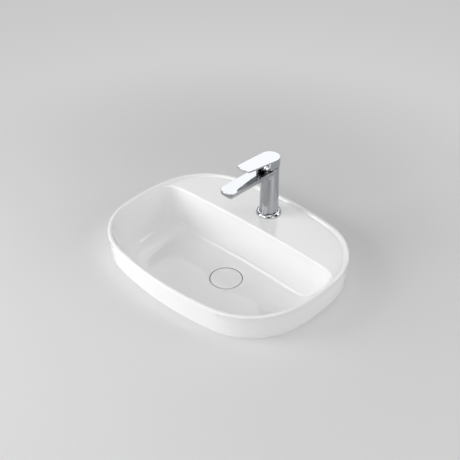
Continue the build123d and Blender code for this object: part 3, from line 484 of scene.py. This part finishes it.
# Plastic pieces: slip washer, aerator insert and the cartridge's foot, housing, coupler and carrier,
# injection moulded in acetal.
# Acetal: ivory white with a soft sheen, and a fine spark-eroded grain, drawn 0.8 mm across.
moulded_acetal = surface("acetal", "#DEDCD3", 0.8, (0.35, 0.5), 0.15)
finish_nodes(moulded_acetal, "waste_slip_washer", "aerator_insert", "cartridge_foot", "cartridge_housing",
             "cartridge_coupler", "cartridge_carrier")

# The cartridge's two discs, pressed and fired from alumina and lapped flat against each other. The
# lower one is fixed in the foot and the upper one slides with the coupler.
# Lapped alumina: cream white, half polished in patches of about a millimetre.
lapped_alumina = surface("lapped_alumina", "#ECE7DC", 1.2, (0.15, 0.35), 0.05)
finish_nodes(lapped_alumina, "cartridge_fixed_disc", "cartridge_moving_disc")

# Indicator: a small moulded plug, pressed into the back of the lever's skirt over the grub screw.
# Polished grey ABS: glossy, with the faint waviness of a moulding.
indicator_plastic = surface("grey_abs", "#C3C5C7", 4, (0.1, 0.18), 0.05)
finish_nodes(indicator_plastic, "lever_indicator")

# Benchtop: a plain pale board with a cut-out that the bowl hangs through. It isn't part of the
# object. It lies a hair under the rim's foot, and reaches far past the picture on every side.
bench_in_at_ends, bench_in_at_sides, bench_top, bench_reach = 8, 11, -0.2, 3000
cut_out = walk(oval(bench_in_at_ends, bench_in_at_sides), oval_shares)
far_edge = [(bench_reach * cos(atan2(y, x)), bench_reach * sin(atan2(y, x))) for x, y in cut_out]
count = len(cut_out)
bench = new_piece("benchtop", [(x, y, bench_top) for x, y in cut_out + far_edge],
                  [(i, count + i, count + (i + 1) % count, (i + 1) % count) for i in range(count)])
# Matt painted board. Near the basin it takes its light and shadow, and further off it runs into an
# even pale grey that falls off a little outwards, for the eye and for what mirrors it.
board, shader = new_material("pale_matt_board", Base_Color=linear("#DDDDDD"), Roughness=0.7)
place = add_node(board, "ShaderNodeTexCoord")
distance = add_node(board, "ShaderNodeVectorMath", {"operation": "LENGTH"},
                    [(place.outputs["Object"], "Vector")])
spread = add_node(board, "ShaderNodeMapRange",
                  {"interpolation_type": "SMOOTHSTEP", "From Min": 0.4, "From Max": 1.1},
                  [(distance.outputs["Value"], "Value")])
falloff = add_node(board, "ShaderNodeMapRange",
                   {"From Min": 0.5, "From Max": 2.6, "To Min": 0.67, "To Max": 0.52},
                   [(distance.outputs["Value"], "Value")])
even_grey = add_node(board, "ShaderNodeEmission", {}, [(falloff.outputs["Result"], "Strength")])


def seen_directly(owner):
    """1 for the camera's own rays and for rays that a mirror or glass passes on."""
    rays = add_node(owner, "ShaderNodeLightPath")
    total = rays.outputs["Is Camera Ray"]
    for output in ("Is Glossy Ray", "Is Transmission Ray"):
        either = add_node(owner, "ShaderNodeMath", {"operation": "MAXIMUM"},
                          [(total, 0), (rays.outputs[output], 1)])
        total = either.outputs[0]
    return total


share = add_node(board, "ShaderNodeMath", {"operation": "MULTIPLY"},
                 [(spread.outputs["Result"], 0), (seen_directly(board), 1)])
blend = add_node(board, "ShaderNodeMixShader", {},
                 [(share.outputs[0], 0), (shader.outputs[0], 1), (even_grey.outputs[0], 2)])
board.node_tree.links.new(blend.outputs[0], board.node_tree.nodes["Material Output"].inputs["Surface"])
bench.data.materials.append(board)

# Camera at the photograph's viewing angle: it looks down over the right front corner of the basin.
# Its place and its focal length, in widths of the picture, were fitted to the rim and the tap.
camera_turn, camera_tilt, camera_distance = radians(43.713), radians(36.356), 1.714467
camera_right, camera_up = 0.008744, 0.060174
sensor_width, focal_length = 36, 774.944 / 460
back = Vector((sin(camera_turn) * cos(camera_tilt), -cos(camera_turn) * cos(camera_tilt), sin(camera_tilt)))
side = Vector((cos(camera_turn), sin(camera_turn), 0))
up = back.cross(side)
camera_data = bpy.data.cameras.new("camera")
camera_data.sensor_width = sensor_width
camera_data.lens = sensor_width * focal_length
camera = bpy.data.objects.new("camera", camera_data)
bpy.context.scene.collection.objects.link(camera)
stand = back * camera_distance + side * camera_right + up * camera_up
camera.matrix_world = Matrix(((side.x, up.x, back.x, stand.x), (side.y, up.y, back.y, stand.y),
                              (side.z, up.z, back.z, stand.z), (0, 0, 0, 1)))
bpy.context.scene.camera = camera

# Soft studio light: a dim room that looks pale, low softboxes at the front left, the front and the
# right, weaker ones above, and a wide panel behind that only mirrors show, in the tap's flat tops.
white, room_light, room_seen = (1, 1, 1, 1), 0.083, 0.52
world = bpy.data.worlds.new("studio")
world.use_nodes = True
room = world.node_tree.nodes["Background"]
room.inputs["Color"].default_value, room.inputs["Strength"].default_value = white, room_light
pale = add_node(world, "ShaderNodeBackground", {"Color": white, "Strength": room_seen})
either = add_node(world, "ShaderNodeMixShader", {},
                  [(seen_directly(world), 0), (room.outputs[0], 1), (pale.outputs[0], 2)])
world.node_tree.links.new(either.outputs[0], world.node_tree.nodes["World Output"].inputs["Surface"])
bpy.context.scene.world = world


def around(azimuth, height, distance):
    """A place round the basin: azimuth from +X, height as an angle over the bench."""
    turn, tilt = radians(azimuth), radians(height)
    return Vector((cos(turn) * cos(tilt), sin(turn) * cos(tilt), sin(tilt))) * distance


def softbox(name, azimuth, height, power, width=1.2, depth=1.2, distance=2.2):
    """A rectangular lamp that faces the basin and isn't itself in the picture."""
    data = bpy.data.lights.new(name, "AREA")
    data.shape, data.size, data.size_y, data.energy = "RECTANGLE", width, depth, power
    lamp = bpy.data.objects.new(name, data)
    bpy.context.scene.collection.objects.link(lamp)
    lamp.location = around(azimuth, height, distance)
    lamp.rotation_euler = (-lamp.location).to_track_quat("-Z", "Y").to_euler()
    lamp.visible_camera = False
    return lamp


softbox("front_left_key", 225, 22, 25)
softbox("front_fill", 270, 22, 15)
softbox("right_fill", 45, 22, 14)
softbox("right_end_fill", 0, 22, 7)
softbox("high_back", 90, 50, 4)
softbox("high_front_right", 315, 50, 6)
softbox("high_left", 225, 50, 3)
softbox("overhead", 0, 90, 5)
mirror_panel = softbox("back_left_panel", 134, 44, 14, width=2.4, depth=1.4)
mirror_panel.visible_diffuse = False

# Dark cards, as a studio stands them round polished metal: only mirrors show them, and they draw
# the dark bands in the tap's chrome. They aren't part of the object.
card_black, shader = new_material("black_flag", Base_Color=linear("#080808"), Roughness=0.9)
card_distance, card_lift, card_height = 1.5, 30, 1.2
for number, (azimuth, width) in enumerate(((316, 0.6), (28, 0.9), (211, 0.4)), 1):
    bpy.ops.mesh.primitive_plane_add(size=1)
    card = bpy.context.object
    card.name = f"dark_card_{number}"
    centre = around(azimuth, card_lift, card_distance)
    card.matrix_world = (Matrix.Translation(centre) @ centre.to_track_quat("Z", "Y").to_matrix().to_4x4()
                         @ Matrix.Diagonal((width, card_height, 1, 1)))
    card.data.materials.append(card_black)
    card.visible_camera = card.visible_diffuse = card.visible_shadow = False

bpy.context.scene.view_settings.view_transform = "Standard"
